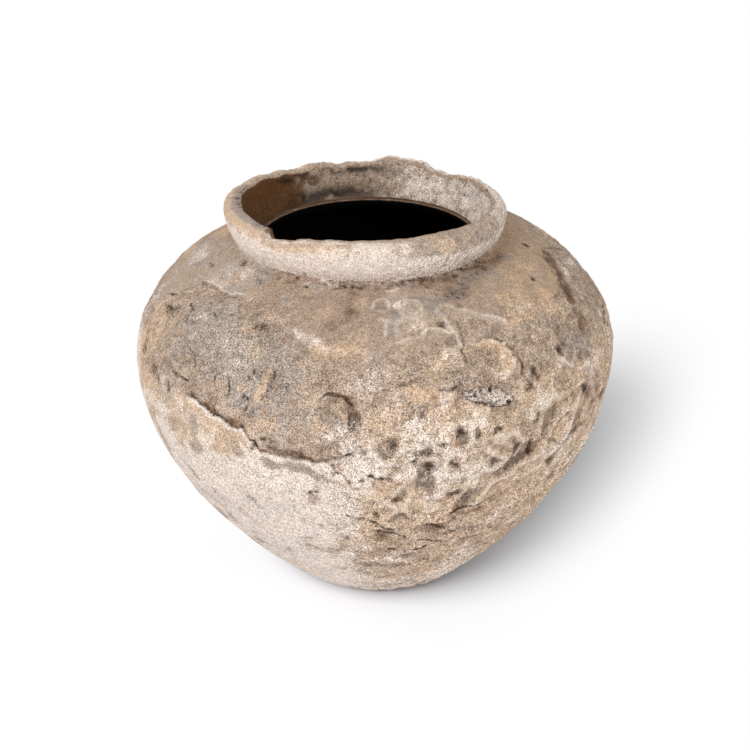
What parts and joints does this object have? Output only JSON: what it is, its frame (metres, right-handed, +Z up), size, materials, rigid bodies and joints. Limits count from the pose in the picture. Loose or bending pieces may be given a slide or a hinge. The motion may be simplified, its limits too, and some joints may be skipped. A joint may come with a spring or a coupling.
{
  "type": "earthenware jar vase",
  "caption": "Round-bellied old terracotta jar vase with a flared, chipped lip, narrow flat foot and a weathered lime-crusted wall; holds stems or stands as an ornament.",
  "frame": {"origin": "middle of the flat underside, on the surface that the jar stands on", "axes": "+Z up along the jar's axis; -Y faces the viewer, with the chipped stretch of the lip at the front left"},
  "size_m": [0.3198, 0.3178, 0.2684],
  "materials": {
    "clay": "low-fired earthenware, rough and weathered",
    "slip": "dry slip pointing",
    "lime_coat": "thin pale lime coat, chalky",
    "tan_skin": "smooth worn tan skin",
    "grey_crust": "grainy grey crust",
    "white_lime": "porous white lime"
  },
  "bodies": {
    "root": {"base_disc": "clay", "base_seam": "slip", "lower_bowl": "clay", "belly_seam": "slip", "shoulder_dome": "clay", "collar_seam": "slip", "neck_collar": "clay", "rim_lip": "clay", "lower_coat": "lime_coat", "shoulder_skin": "tan_skin", "left_crust": "grey_crust", "tan_plate": "tan_skin", "lime_lump": "white_lime"}
  },
  "joints": []
}
